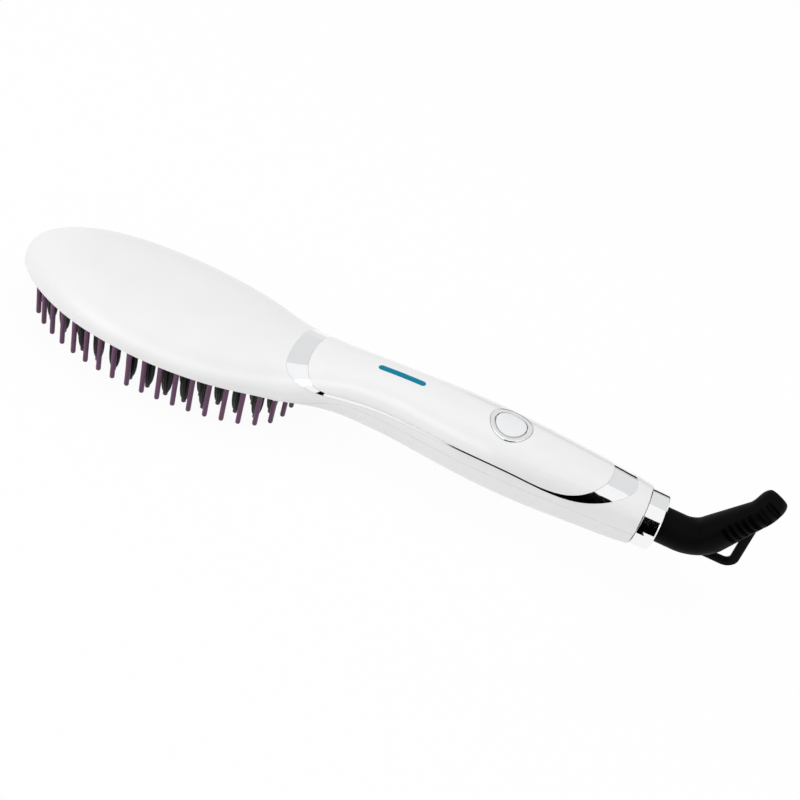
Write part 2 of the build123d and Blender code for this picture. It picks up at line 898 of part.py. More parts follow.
with BuildPart() as heater_clamp:
    with BuildSketch(Plane.XY.offset(clamp_under_z)):
        with Locations((heater_middle_x, 0)):
            RectangleRounded(clamp_length, clamp_width, clamp_foot_radius)
            SlotOverall(clamp_reach + 2 * (clamp_foot_radius + clamp_margin), clamp_arm, rotation=90)
    extrude(amount=clamp_thickness)
    with BuildSketch(Plane.XY.offset(carrier_top_z)):
        with Locations((heater_middle_x, clamp_foot_y), (heater_middle_x, -clamp_foot_y)):
            Circle(clamp_foot_radius)
    extrude(amount=mica_thickness)
    with BuildSketch(Plane.XY.offset(carrier_top_z)):
        with Locations((heater_middle_x, clamp_foot_y), (heater_middle_x, -clamp_foot_y)):
            Circle(clamp_screw[0] + screw_gap)
    extrude(amount=clamp_top_z - carrier_top_z, mode=Mode.SUBTRACT)
heater_clamp.part.label = "heater_clamp"

with BuildPart() as clamp_screws:
    for side in (1, -1):
        with Locations((heater_middle_x, side * clamp_foot_y, clamp_top_z)):
            add(screw(clamp_screw))
clamp_screws.part.label = "clamp_screws"

with BuildPart() as thermal_fuse:
    with Locations((heater_middle_x - fuse_offset, 0, clamp_top_z + fuse_radius)):
        Cylinder(fuse_radius, fuse_length, rotation=(0, 90, 0))
    chamfer(thermal_fuse.edges(), length=fuse_edge_share * fuse_radius)
thermal_fuse.part.label = "thermal_fuse"

with BuildPart() as thermistor:
    with BuildSketch(Plane.XY.offset(clamp_top_z)):
        with Locations((heater_middle_x + fuse_offset, 0)):
            Circle(thermistor_radius)
    extrude(amount=thermistor_thickness)
    thermistor_edge = thermistor_edge_share * thermistor_thickness
    fillet(thermistor.edges().sort_by(Axis.Z)[-1], radius=thermistor_edge)
thermistor.part.label = "thermistor"


def side_tube(points, y, bend_radius):
    """A wire that runs in a plane beside the middle, through corners rounded to a bend."""
    with BuildPart() as tube:
        with BuildLine(Plane.XZ.offset(-y)) as path:
            FilletPolyline(*points, radius=bend_radius)
        with BuildSketch(Plane(origin=path.line @ 0, z_dir=path.line % 0)):
            Circle(lead_radius)
        sweep(path=path.line)
    return tube.part


heater_end_x = heater_middle_x + (heater_spacing + heater_length) / 2
board_front_x = along_head(board_front)
board_rear_x = board_front_x + board_length
lead_points = [
    (heater_end_x + lead_radius, plate_top_z + lead_radius),
    (heater_end_x + lead_radius, rim_z + lead_run),
    (board_front_x - 2 * lead_bend, rim_z + lead_run),
    (board_front_x, board_top_z + lead_radius),
    (board_front_x + board_screw_inset / 2, board_top_z + lead_radius),
]
with BuildPart() as heater_leads:
    for side in (1, -1):
        add(side_tube(lead_points, side * lead_spread, lead_bend / 2))
heater_leads.part.label = "heater_leads"

socket_front_x = ring_end_x - ring_face - socket_gap - socket_length
socket_rear_x = ring_end_x - ring_face - socket_gap
with BuildPart() as supply_leads:
    for side in (1, -1):
        start_x = board_rear_x - board_screw_inset / 2
        with Locations(((start_x + socket_front_x) / 2, side * lead_spread, board_top_z + lead_radius)):
            Cylinder(lead_radius, socket_front_x - start_x, rotation=(0, 90, 0))
supply_leads.part.label = "supply_leads"

swivel_plane = Plane(origin=(0, 0, axis_z), x_dir=(1, 0, 0), z_dir=(0, -1, 0))
swivel_axis = Axis((0, 0, axis_z), (1, 0, 0))
with BuildPart() as end_ring:
    with BuildSketch(swivel_plane):
        with BuildLine():
            Polyline(
                (seam_x - spigot_length, spigot_radius),
                (seam_x + ring_gap, spigot_radius),
                (seam_x + ring_gap, ring_radius),
                (ring_end_x, ring_radius),
                (ring_end_x, ring_mouth_radius),
                (ring_end_x - ring_face, ring_mouth_radius),
                (ring_end_x - ring_face, socket_radius + socket_gap),
                (seam_x - spigot_length, socket_radius + socket_gap),
                close=True,
            )
        make_face()
    revolve(axis=swivel_axis)
    fillet(end_ring.edges().group_by(Axis.X)[-1].sort_by(SortBy.LENGTH)[-1], radius=ring_round)
end_ring.part.label = "end_ring"

with BuildPart() as swivel_socket:
    with BuildSketch(swivel_plane):
        with BuildLine():
            Polyline(
                (socket_front_x + cap_thickness, socket_room_radius),
                (socket_front_x + cap_thickness, socket_radius),
                (socket_rear_x, socket_radius),
                (socket_rear_x, neck_radius + running_gap),
                (socket_rear_x - socket_floor, neck_radius + running_gap),
                (socket_rear_x - socket_floor, socket_room_radius),
                close=True,
            )
        make_face()
    revolve(axis=swivel_axis)
swivel_socket.part.label = "swivel_socket"

with BuildPart() as socket_cap:
    with Locations(Location((socket_front_x + cap_thickness / 2, 0, axis_z), (0, 90, 0))):
        Cylinder(socket_radius, cap_thickness)
socket_cap.part.label = "socket_cap"

collar_rear_x = socket_rear_x - socket_floor - socket_gap
collar_front_x = collar_rear_x - collar_length
barrel_front_x = socket_front_x + cap_thickness + socket_gap
core_rear_x = ring_end_x + boot_neck_depth
with BuildPart() as swivel_core:
    with BuildSketch(swivel_plane):
        with BuildLine():
            Polyline(
                (barrel_front_x, wire_way_radius),
                (barrel_front_x, barrel_radius),
                (collar_front_x, barrel_radius),
                (collar_front_x, collar_radius),
                (collar_rear_x, collar_radius),
                (collar_rear_x, neck_radius),
                (core_rear_x, neck_radius),
                (core_rear_x, wire_way_radius),
                close=True,
            )
        make_face()
    revolve(axis=swivel_axis)
swivel_core.part.label = "swivel_core"

with BuildPart() as slip_rings:
    for place in slip_ring_places:
        with Locations(Location((socket_front_x + place, 0, axis_z), (0, 90, 0))):
            Cylinder(slip_ring_radius, slip_ring_width)
            Cylinder(barrel_radius, slip_ring_width, mode=Mode.SUBTRACT)
slip_rings.part.label = "slip_rings"

spring_z = slip_ring_radius + spring_gap + spring_thickness / 2
with BuildPart() as contact_springs:
    for side in (1, -1):
        with Locations(
            (
                socket_front_x + cap_thickness + spring_length / 2,
                0,
                axis_z + side * spring_z,
            )
        ):
            Box(spring_length, spring_width, spring_thickness)
contact_springs.part.label = "contact_springs"

# The boot's middle line: along the swivel's axis, up the elbow, and a last turn to the side
boot_front_x = ring_end_x - ring_face
corner = (ring_end_x + boot_corner_share * tail_reach, axis_z)
kink = (
    ring_end_x + boot_kink_shares[0] * tail_reach,
    axis_z + boot_kink_shares[1] * tail_reach,
)
climb = Vector(kink[0] - corner[0], 0, kink[1] - corner[1]).normalized()
turned = climb * cos(radians(boot_turn)) + Vector(0, sin(radians(boot_turn)), 0)
kink_point = Vector(kink[0], 0, kink[1])
turn_share = 1 - cos(radians(boot_turn))
turn_end = (
    kink_point
    + climb * (boot_turn_radius * sin(radians(boot_turn)))
    + Vector(0, boot_turn_radius * turn_share, 0)
)
boot_tip = turn_end + turned * boot_tip_length


def boot_plane(spot, heading):
    """A plane across the boot's middle line, with its x axis kept in the upright plane."""
    return Plane(origin=spot, x_dir=heading.cross(Vector(0, 1, 0)), z_dir=heading)


with BuildLine(Plane.XZ) as boot_line:
    FilletPolyline((boot_front_x, axis_z), corner, kink, radius=boot_bend_radius)
stub_line, elbow_line, climb_line = boot_line.edges().sort_by(Axis.X)
climb_start = elbow_line @ 1

with BuildPart() as strain_relief:
    with BuildSketch(boot_plane(stub_line @ 0, stub_line % 0)):
        Circle(boot_radius)
    extrude(amount=stub_line.length)
    with BuildSketch(boot_plane(elbow_line @ 0, elbow_line % 0)):
        Circle(boot_radius)
    sweep(path=elbow_line)
    with BuildSketch(boot_plane(climb_start, climb)):
        Circle(boot_radius)
    with BuildSketch(boot_plane(kink_point, climb)):
        Circle(boot_tip_radius)
    loft()
    with BuildLine() as turn_line:
        Spline(kink_point, turn_end, tangents=(climb, turned))
    with BuildSketch(boot_plane(kink_point, climb)):
        Circle(boot_tip_radius)
    sweep(path=turn_line.line)
    with BuildSketch(boot_plane(turn_end, turned)):
        Circle(boot_tip_radius)
    extrude(amount=boot_tip_length)
    tip_face = strain_relief.faces().sort_by_distance(boot_tip)[0]
    fillet(tip_face.edges(), radius=boot_tip_round)
    with BuildSketch(boot_plane(boot_tip, turned)):
        Circle(cord_hole_radius)
    extrude(amount=-cord_hole_depth, mode=Mode.SUBTRACT)
    with BuildSketch(boot_plane(stub_line @ 0, stub_line % 0)):
        Circle(neck_radius)
    extrude(amount=core_rear_x - boot_front_x, mode=Mode.SUBTRACT)
    for number in range(groove_count):
        spot = climb_start + climb * (groove_pitch * (number + groove_start_share))
        with BuildSketch(boot_plane(spot, climb)):
            for side in (1, -1):
                with Locations((0, side * (groove_core + boot_radius / 2))):
                    Rectangle(2 * groove_spine, boot_radius)
        extrude(amount=groove_width / 2, both=True, mode=Mode.SUBTRACT)
    with BuildSketch(Plane.XZ):
        with BuildLine():
            FilletPolyline(
                *[
                    (ring_end_x + out * tail_reach, axis_z + up * tail_reach)
                    for out, up in loop_shares
                ],
                radius=loop_corner_radius,
            )
        trace(line_width=loop_thickness)
    extrude(amount=loop_width / 2, both=True)
strain_relief.part.label = "strain_relief"

os.makedirs("parts", exist_ok=True)
pieces = [
    upper_housing,
    lower_housing,
    chrome_trim,
    handle_panel,
    button_bezel,
    power_button,
    switch_plunger,
    tact_switch,
    indicator_lens,
    light_pipe,
    indicator_leds,
    control_board,
    board_screws,
    x_capacitor,
    triac,
    controller_chip,
    board_fuse,
    handle_screws,
    bristle_frame,
    outer_pins,
    heater_plate,
    finned_studs,
    stud_tips,
    carrier_plate,
    head_screws,
    ceramic_heaters,
    mica_sheet,
    heater_clamp,
    clamp_screws,
    thermal_fuse,
    thermistor,
    heater_leads,
    supply_leads,
    end_ring,
    swivel_socket,
    socket_cap,
    swivel_core,
    slip_rings,
    contact_springs,
    strain_relief,
]
for piece in pieces:
    export_step(piece.part, f"parts/{piece.part.label}.step")
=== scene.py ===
import json
import math

import bmesh
import bpy
from mathutils import Matrix, Vector
from mathutils.bvhtree import BVHTree


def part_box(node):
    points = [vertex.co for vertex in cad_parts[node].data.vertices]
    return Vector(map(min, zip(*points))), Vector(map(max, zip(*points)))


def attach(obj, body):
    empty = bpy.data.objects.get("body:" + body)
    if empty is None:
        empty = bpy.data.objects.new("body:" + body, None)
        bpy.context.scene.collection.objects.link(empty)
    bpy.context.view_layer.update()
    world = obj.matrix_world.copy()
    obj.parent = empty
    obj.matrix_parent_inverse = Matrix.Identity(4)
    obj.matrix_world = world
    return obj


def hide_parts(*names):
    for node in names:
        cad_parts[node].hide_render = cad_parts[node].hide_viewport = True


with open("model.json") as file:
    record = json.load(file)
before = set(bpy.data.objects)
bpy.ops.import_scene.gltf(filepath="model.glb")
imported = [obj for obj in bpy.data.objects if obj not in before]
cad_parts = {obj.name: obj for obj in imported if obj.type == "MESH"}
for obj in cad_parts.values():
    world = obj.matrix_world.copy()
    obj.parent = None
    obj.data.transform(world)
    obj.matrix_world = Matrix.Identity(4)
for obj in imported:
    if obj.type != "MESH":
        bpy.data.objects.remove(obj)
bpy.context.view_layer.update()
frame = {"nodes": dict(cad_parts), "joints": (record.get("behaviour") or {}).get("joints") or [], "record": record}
nodes = frame["nodes"]
mm = 0.001                                        # every size below is in millimetres times this
mergeWithin = 0.001 * mm                          # corners this close are one
alongX = Vector((1, 0, 0))
alongY = Vector((0, 1, 0))
alongZ = Vector((0, 0, 1))
print("frame loaded:", len(nodes), "CAD pieces")


# camera: the photograph's viewing angle
camera = {
    "place": (60.2, -342.0, 350.2),
    "forward": (-0.1077, 0.7263, -0.6789),
    "roll": 19.06,
    "lens": 52.23,
    "sensor": 36.0,
    "nearClip": 10.0,
}
cameraData = bpy.data.cameras.new("camera")
cameraData.lens = camera["lens"]
cameraData.sensor_width = camera["sensor"]
cameraData.clip_start = camera["nearClip"] * mm
cameraObject = bpy.data.objects.new("camera", cameraData)
bpy.context.scene.collection.objects.link(cameraObject)
turn = Vector(camera["forward"]).to_track_quat("-Z", "Y").to_matrix()
turn = turn @ Matrix.Rotation(math.radians(camera["roll"]), 3, "Z")
cameraObject.matrix_world = Matrix.Translation(Vector(camera["place"]) * mm) @ turn.to_4x4()
bpy.context.scene.camera = cameraObject
print("camera set")


# shader maths
class Signal:                                     # one output socket that takes part in sums
    def __init__(self, look, socket):
        self.look = look
        self.socket = socket

    def combine(self, operation, first, second):
        return self.look.add("ShaderNodeMath", {"operation": operation}, {0: first, 1: second})

    def __add__(self, other):
        return self.combine("ADD", self, other)

    def __radd__(self, other):
        return self.combine("ADD", other, self)

    def __sub__(self, other):
        return self.combine("SUBTRACT", self, other)

    def __rsub__(self, other):
        return self.combine("SUBTRACT", other, self)

    def __mul__(self, other):
        return self.combine("MULTIPLY", self, other)

    def __rmul__(self, other):
        return self.combine("MULTIPLY", other, self)

    def __gt__(self, other):
        return self.combine("GREATER_THAN", self, other)

    def __lt__(self, other):
        return self.combine("LESS_THAN", self, other)


class Look:                                       # a material or a world, built node by node
    def __init__(self, owner, kind):
        self.owner = owner
        owner.use_nodes = True
        self.tree = owner.node_tree
        self.shader = self.tree.nodes[kind]

    def add(self, kind, settings, inputs, output=0):
        node = self.tree.nodes.new(kind)
        for name, value in settings.items():
            setattr(node, name, value)
        for name, value in inputs.items():
            self.feed(node.inputs[name], value)
        return Signal(self, node.outputs[output])

    def feed(self, socket, value):
        if isinstance(value, Signal):
            self.tree.links.new(value.socket, socket)
        else:
            socket.default_value = value

    def place(self):
        return self.add("ShaderNodeTexCoord", {}, {}, "Object")

    def grain(self, scale, detail=2.0, roughness=0.5):
        sockets = {"Vector": self.place(), "Scale": scale, "Detail": detail, "Roughness": roughness}
        return self.add("ShaderNodeTexNoise", {}, sockets, "Fac")

    def mixColors(self, factor, first, second):
        settings = {"data_type": "RGBA"}
        return self.add("ShaderNodeMix", settings, {0: factor, 6: first, 7: second}, 2)

    def bump(self, height, strength, distance):
        sockets = {"Height": height, "Strength": strength, "Distance": distance}
        return self.add("ShaderNodeBump", {}, sockets)

    def seen(self):                               # rays that meet the eye straight or by a mirror
        path = self.add("ShaderNodeLightPath", {}, {}).socket.node
        kinds = [Signal(self, path.outputs["Is " + kind + " Ray"])
                 for kind in ("Camera", "Glossy", "Transmission")]
        return kinds[0] + kinds[1] + kinds[2] > 0.5

    def finish(self, sockets):
        for name, value in sockets.items():
            self.feed(self.shader.inputs[name], value)
        return self.owner


def newLook(name):
    return Look(bpy.data.materials.new(name), "Principled BSDF")


def rgb(red, green, blue):
    return (red, green, blue, 1.0)


def shade(color, share):
    return rgb(*[channel * share for channel in color])


# finishes
plasticSkin = {
    "cloudDark": 0.95,
    "fineRatio": 14,                              # times the cloud's scale
    "fineDetail": 3.0,
    "fineStrength": 0.3,
    "coatRoughness": 0.06,
}
metalSkin = {
    "cloudDark": 0.96,
    "cloudDetail": 3.0,
    "bumpStrength": 0.04,
    "bumpDepth": 0.02,
}
softSkin = {
    "cloudScale": 140,
    "cloudDark": 0.8,
    "cloudLight": 1.15,
    "cloudSpread": 0.14,
    "poreScale": 2600,
    "poreDetail": 4.0,
    "poreRoughness": 0.6,
    "poreStrength": 0.35,
    "poreDepth": 0.06,
    "mirror": 0.04,
}


def mouldedPlastic(name, color, roughness, spread, cloudScale, bumpDepth, coat=0.0, glow=0.0,
                   mirror=0.5):
    look = newLook(name)
    cloud = look.grain(cloudScale)
    fine = look.grain(cloudScale * plasticSkin["fineRatio"], plasticSkin["fineDetail"])
    return look.finish({
        "Base Color": look.mixColors(cloud, shade(color, plasticSkin["cloudDark"]), shade(color, 1.0)),
        "Roughness": roughness + spread * (cloud - 0.5),
        "Normal": look.bump(fine, plasticSkin["fineStrength"], bumpDepth * mm),
        "Specular IOR Level": mirror,
        "Coat Weight": coat,
        "Coat Roughness": plasticSkin["coatRoughness"],
        "Emission Color": shade(color, 1.0),
        "Emission Strength": glow,
    })


def polishedMetal(name, color, roughness, spread, cloudScale):
    look = newLook(name)
    cloud = look.grain(cloudScale, metalSkin["cloudDetail"])
    return look.finish({
        "Base Color": look.mixColors(cloud, shade(color, metalSkin["cloudDark"]), shade(color, 1.0)),
        "Metallic": 1.0,
        "Roughness": roughness + spread * cloud,
        "Normal": look.bump(cloud, metalSkin["bumpStrength"], metalSkin["bumpDepth"] * mm),
    })


def rubberSkin(name, color, roughness):
    look = newLook(name)
    cloud = look.grain(softSkin["cloudScale"])
    pores = look.grain(softSkin["poreScale"], softSkin["poreDetail"], softSkin["poreRoughness"])
    dark, light = shade(color, softSkin["cloudDark"]), shade(color, softSkin["cloudLight"])
    return look.finish({
        "Base Color": look.mixColors(cloud, dark, light),
        "Roughness": roughness + softSkin["cloudSpread"] * (cloud - 0.5),
        "Normal": look.bump(pores, softSkin["poreStrength"], softSkin["poreDepth"] * mm),
        "Specular IOR Level": softSkin["mirror"],
    })


finishes = {
    "white_shell": mouldedPlastic("shellWhite", (0.855, 0.855, 0.858), 0.30, 0.06, 60, 0.02, 0.25),
    "white_panel": mouldedPlastic("panelWhite", (0.865, 0.865, 0.868), 0.24, 0.05, 60, 0.02, 0.35),
    "white_button": mouldedPlastic("buttonWhite", (0.84, 0.845, 0.855), 0.30, 0.05, 90, 0.02, 0.2),
    "chrome": polishedMetal("brightPlating", (0.93, 0.935, 0.945), 0.04, 0.04, 300),
    "teal_lens": mouldedPlastic("tealLens", (0.0, 0.19, 0.30), 0.3, 0.05, 200, 0.01, 0.0, 0.1,
                                0.08),
    "black_plastic": mouldedPlastic("blackPlastic", (0.006, 0.006, 0.007), 0.42, 0.1, 150, 0.03,
                                    mirror=0.2),
    "plum_nylon": mouldedPlastic("plumNylon", (0.125, 0.042, 0.105), 0.36, 0.1, 200, 0.02, mirror=0.3),
    "heater_metal": mouldedPlastic("heaterCoating", (0.03, 0.03, 0.033), 0.5, 0.1, 200, 0.03),
    "steel": polishedMetal("zincSteel", (0.52, 0.53, 0.55), 0.25, 0.15, 500),
    "ceramic": mouldedPlastic("firedCeramic", (0.72, 0.70, 0.64), 0.6, 0.1, 250, 0.04),
    "mica": mouldedPlastic("pressedMica", (0.45, 0.38, 0.26), 0.45, 0.2, 400, 0.05),
    "epoxy": mouldedPlastic("mouldedEpoxy", (0.02, 0.02, 0.022), 0.55, 0.1, 300, 0.03),
    "board": mouldedPlastic("solderMask", (0.01, 0.11, 0.035), 0.35, 0.1, 250, 0.02),
    "led": mouldedPlastic("ledLens", (0.55, 0.70, 0.80), 0.15, 0.05, 300, 0.01, 0.5),
    "clear_plastic": mouldedPlastic("frostedPipe", (0.66, 0.72, 0.74), 0.4, 0.1, 200, 0.02),
    "capacitor_case": mouldedPlastic("capacitorCase", (0.60, 0.42, 0.04), 0.35, 0.1, 200, 0.02),
    "lead_sleeve": mouldedPlastic("glassSleeve", (0.60, 0.57, 0.50), 0.8, 0.1, 900, 0.1),
    "brass": polishedMetal("turnedBrass", (0.72, 0.52, 0.20), 0.18, 0.15, 400),
    "rubber": rubberSkin("bootRubber", (0.002, 0.002, 0.0022), 0.5),
}
slotOf = {}
for part in frame["record"]["subparts"]:
    cadObject = nodes[part["node"]]
    cadObject.data.materials.clear()
    cadObject.data.materials.append(finishes[part["material_slot"]])
    slotOf[part["node"]] = part["material_slot"]
print("finishes made:", len(finishes))


# building blocks for the mesh pieces
def addPiece(name, mesh, body, standsFor, creaseDegrees=40.0):
    for face in mesh.faces:
        face.smooth = True
    for edge in mesh.edges:
        sharp = len(edge.link_faces) == 2 and edge.calc_face_angle(0) > math.radians(creaseDegrees)
        edge.smooth = not sharp
    data = bpy.data.meshes.new(name)
    mesh.to_mesh(data)
    mesh.free()
    piece = bpy.data.objects.new(name, data)
    bpy.context.scene.collection.objects.link(piece)
    slotName = slotOf[standsFor[0]]
    data.materials.append(finishes[slotName])
    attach(piece, body)
    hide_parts(*standsFor)
    return piece


def mergedCopy(*names):                           # CAD triangles joined into one closed mesh
    mesh = bmesh.new()
    for name in names:
        mesh.from_mesh(nodes[name].data)
    bmesh.ops.remove_doubles(mesh, verts=mesh.verts, dist=mergeWithin)
    return mesh


def islands(name):                                # middle and extent of each separate solid
    mesh = mergedCopy(name)
    left = set(mesh.verts)
    found = []
    while left:
        reached = [left.pop()]
        for vertex in reached:
            for edge in vertex.link_edges:
                other = edge.other_vert(vertex)
                if other in left:
                    left.remove(other)
                    reached.append(other)
        lows = Vector([min(v.co[i] for v in reached) for i in range(3)])
        highs = Vector([max(v.co[i] for v in reached) for i in range(3)])
        found.append((lows, highs))
    mesh.free()
    return found


def spun(profile, centre, axis, steps):           # a profile of (out, along) turned once round
    mesh = bmesh.new()
    side = alongX if axis == alongZ else alongZ
    corners = [mesh.verts.new(centre + side * out * mm + axis * along * mm)
               for out, along in profile]
    edges = [mesh.edges.new(pair) for pair in zip(corners, corners[1:])]
    bmesh.ops.spin(mesh, geom=corners + edges, cent=centre, axis=axis, dvec=(0, 0, 0),
                   angle=math.tau, steps=steps, use_merge=True)
    bmesh.ops.remove_doubles(mesh, verts=mesh.verts, dist=mergeWithin)
    bmesh.ops.recalc_face_normals(mesh, faces=mesh.faces)
    return mesh


def roundedCorner(out, along, radius, start, sweep, steps=5):
    points = []                                   # an arc of a profile round (out, along)
    for step in range(steps + 1):
        angle = math.radians(start + sweep * step / steps)
        points.append((out + radius * math.cos(angle), along + radius * math.sin(angle)))
    return points


panelSurface = BVHTree.FromBMesh(mergedCopy("handle_panel", "power_button", "indicator_lens"))


def levelAt(x, y):                                # height of the handle's top under a place
    return panelSurface.ray_cast(Vector((x, y, 1.0)), -alongZ)[0].z


def crown(vertices, centre, reachAlong, reachAcross):  # bends a flat fitting to the panel round it
    before = levelAt(centre.x - reachAlong, 0) - centre.z
    after = levelAt(centre.x + reachAlong, 0) - centre.z
    beside = levelAt(centre.x, reachAcross) - centre.z
    slope, bow = (after - before) / 2, (after + before) / 2
    for vertex in vertices:
        along = (vertex.co.x - centre.x) / reachAlong
        across = (vertex.co.y - centre.y) / reachAcross
        vertex.co.z += slope * along + bow * along ** 2 + beside * across ** 2


# button and its chrome ring
button = {
    "rise": 0.25,                                 # how far the CAD cap stands above the handle
    "capRadius": 6.45,
    "capRound": 0.5,
    "capLevel": 0.12,
    "dishDepth": 0.08,
    "dishMiddle": (0.5, 0.6),                     # share of the cap's radius, share of the depth
    "dishOuter": (0.75, 0.15),
    "skirtInside": 5.3,
    "skinDepth": 2.0,
    "flangeRadius": 7.6,
    "flangeDrop": 3.9,
    "flangeThickness": 0.9,
    "stemRadius": 2.3,
    "ringInside": 6.82,
    "ringOutside": 8.78,
    "ringCrown": 0.46,
    "ringLip": -0.15,
    "ringLipRound": 0.12,
    "ringLipDrop": 0.1,
    "ringLipSweep": 50,
    "ringSlopeReach": 0.75,
    "ringSlopeDrop": 0.06,
    "ringFlatStart": 1.0,
    "ringFlatEnd": 0.45,
    "ringEdgeRound": 0.35,
    "ringEdgeSweep": 80,
    "ringDepth": 1.0,
    "ringInnerDepth": 0.3,                        # below the ring's outer edge
    "ringCrease": 60.0,
    "panelMargin": 0.9,
    "steps": 96,
}
buttonLow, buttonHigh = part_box("power_button")
buttonCentre = Vector(((buttonLow.x + buttonHigh.x) / 2, 0, 0))
buttonCentre.z = levelAt(buttonCentre.x, 0) - button["rise"] * mm
plungerTop = (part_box("switch_plunger")[1].z - buttonCentre.z) / mm
flangeLow = -button["flangeDrop"] - button["flangeThickness"]
capEdge = roundedCorner(button["capRadius"] - button["capRound"],
                        button["capLevel"] - button["capRound"], button["capRound"], 90, -90)
dishSteps = [(button["capRadius"] * out, button["capLevel"] - button["dishDepth"] * drop)
             for out, drop in (button["dishMiddle"], button["dishOuter"])]
capProfile = [
    (0, button["capLevel"] - button["dishDepth"]),
    *dishSteps,
    *capEdge,
    (button["capRadius"], -button["flangeDrop"]),
    (button["flangeRadius"], -button["flangeDrop"]),
    (button["flangeRadius"], flangeLow),
    (button["skirtInside"], flangeLow),
    (button["skirtInside"], -button["skinDepth"]),
    (button["stemRadius"], -button["skinDepth"]),
    (button["stemRadius"], plungerTop),
    (0, plungerTop),
]
capMesh = spun(capProfile, buttonCentre, alongZ, button["steps"])
panelReach = (button["ringOutside"] + button["panelMargin"]) * mm
topLevel = buttonCentre.z - button["skinDepth"] * mm / 2
capTop = [vertex for vertex in capMesh.verts if vertex.co.z > topLevel]
crown(capTop, buttonCentre, panelReach, panelReach)
addPiece("buttonCap", capMesh, "button", ["power_button"])

ringProfile = [
    (button["ringInside"], -button["ringDepth"] - button["ringInnerDepth"]),
    (button["ringInside"], button["ringLip"] - button["ringLipDrop"]),
    *roundedCorner(button["ringInside"] + button["ringLipRound"], button["ringLip"],
                   button["ringLipRound"], 180, -button["ringLipSweep"], 3),
    (button["ringInside"] + button["ringSlopeReach"],
     button["ringCrown"] - button["ringSlopeDrop"]),
    (button["ringInside"] + button["ringFlatStart"], button["ringCrown"]),
    (button["ringOutside"] - button["ringFlatEnd"], button["ringCrown"]),
    *roundedCorner(button["ringOutside"] - button["ringEdgeRound"],
                   button["ringCrown"] - button["ringEdgeRound"], button["ringEdgeRound"],
                   button["ringEdgeSweep"], -button["ringEdgeSweep"], 5),
    (button["ringOutside"], -button["ringDepth"]),
]
ringProfile.append(ringProfile[0])
ringMesh = spun(ringProfile, buttonCentre, alongZ, button["steps"])
crown(ringMesh.verts, buttonCentre, panelReach, panelReach)
addPiece("buttonRing", ringMesh, "brush", ["button_bezel"], button["ringCrease"])
print("button made")


# light bar
lightBar = {
    "proud": 0.08,
    "depth": 1.2,
    "edge": 0.14,
    "edgeSteps": 3,
    "segments": 48,
    "cuts": (-0.75, -0.5, -0.25, 0.0, 0.25, 0.5, 0.75),   # let the bar bend with the panel
    "reachPast": 2.0,
    "reachAcross": 3.0,
}
barLow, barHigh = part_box("indicator_lens")
barRadius = (barHigh.y - barLow.y) / 2
barCentre = Vector(((barLow.x + barHigh.x) / 2, 0, 0))
barCentre.z = levelAt(barCentre.x, 0)
barShift = (barHigh.x - barLow.x) / 2 - barRadius
barMesh = bmesh.new()
bmesh.ops.create_circle(barMesh, cap_ends=True, radius=barRadius, segments=lightBar["segments"])
for vertex in barMesh.verts:
    vertex.co.x += math.copysign(barShift, vertex.co.x)
lifted = bmesh.ops.extrude_face_region(barMesh, geom=list(barMesh.faces))["geom"]
topVerts = [item for item in lifted if isinstance(item, bmesh.types.BMVert)]
topEdges = [item for item in lifted if isinstance(item, bmesh.types.BMEdge)]
barHeight = (lightBar["depth"] + lightBar["proud"]) * mm
bmesh.ops.translate(barMesh, vec=alongZ * barHeight, verts=topVerts)
bmesh.ops.bevel(barMesh, geom=topEdges, offset=lightBar["edge"] * mm,
                segments=lightBar["edgeSteps"], profile=0.5, affect="EDGES", material=-1)
for share in lightBar["cuts"]:
    everything = list(barMesh.verts) + list(barMesh.edges) + list(barMesh.faces)
    bmesh.ops.bisect_plane(barMesh, geom=everything, plane_co=(share * barShift, 0, 0),
                           plane_no=(1, 0, 0))
bmesh.ops.translate(barMesh, vec=barCentre - alongZ * lightBar["depth"] * mm, verts=barMesh.verts)
bmesh.ops.recalc_face_normals(barMesh, faces=barMesh.faces)
crown(barMesh.verts, barCentre, barShift + lightBar["reachPast"] * mm,
      lightBar["reachAcross"] * mm)
addPiece("lightBar", barMesh, "brush", ["indicator_lens"])
print("light bar made")


# pins round the head
pin = {
    "radius": 1.15,
    "waist": 1.06,
    "tipRound": 0.95,
    "waistShare": 0.4,                            # of the pin's length, from its tip
    "shoulderShare": 0.85,
    "steps": 20,
}
pinMesh = bmesh.new()
for low, high in islands("outer_pins"):
    length = (high.z - low.z) / mm
    pinProfile = [
        (0, 0),
        *roundedCorner(pin["waist"] - pin["tipRound"], pin["tipRound"], pin["tipRound"], -90, 90),
        (pin["waist"], length * pin["waistShare"]),
        (pin["radius"], length * pin["shoulderShare"]),
        (pin["radius"], length),
        (0, length),
    ]
    foot = Vector(((low.x + high.x) / 2, (low.y + high.y) / 2, low.z))
    single = spun(pinProfile, foot, alongZ, pin["steps"])
    data = bpy.data.meshes.new("pinDraft")
    single.to_mesh(data)
    single.free()
    pinMesh.from_mesh(data)
    bpy.data.meshes.remove(data)
addPiece("pins", pinMesh, "brush", ["outer_pins"])
print("pins made")


# studs under the heater plate
stud = {
    "halfWidth": 2.55,
    "halfDepth": 2.15,
    "vane": 1.2,
    "shoulder": 6.5,                              # above the lower end of the vanes
    "vaneSteps": ((0.72, 0.25), (0.88, 0.6), (0.96, 1.0)),   # shares of width, of height
    "endRadius": 1.25,
    "edge": 0.22,
    "nubRadius": 1.05,
    "nubRound": 0.6,
    "nubSteps": 14,
    "root": 0.3,
    "crease": 50.0,
}
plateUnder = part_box("heater_plate")[0].z
nubs = islands("stud_tips")
nubLow, nubHigh = nubs[0]
studLength = (plateUnder - nubHigh.z) / mm + stud["root"]


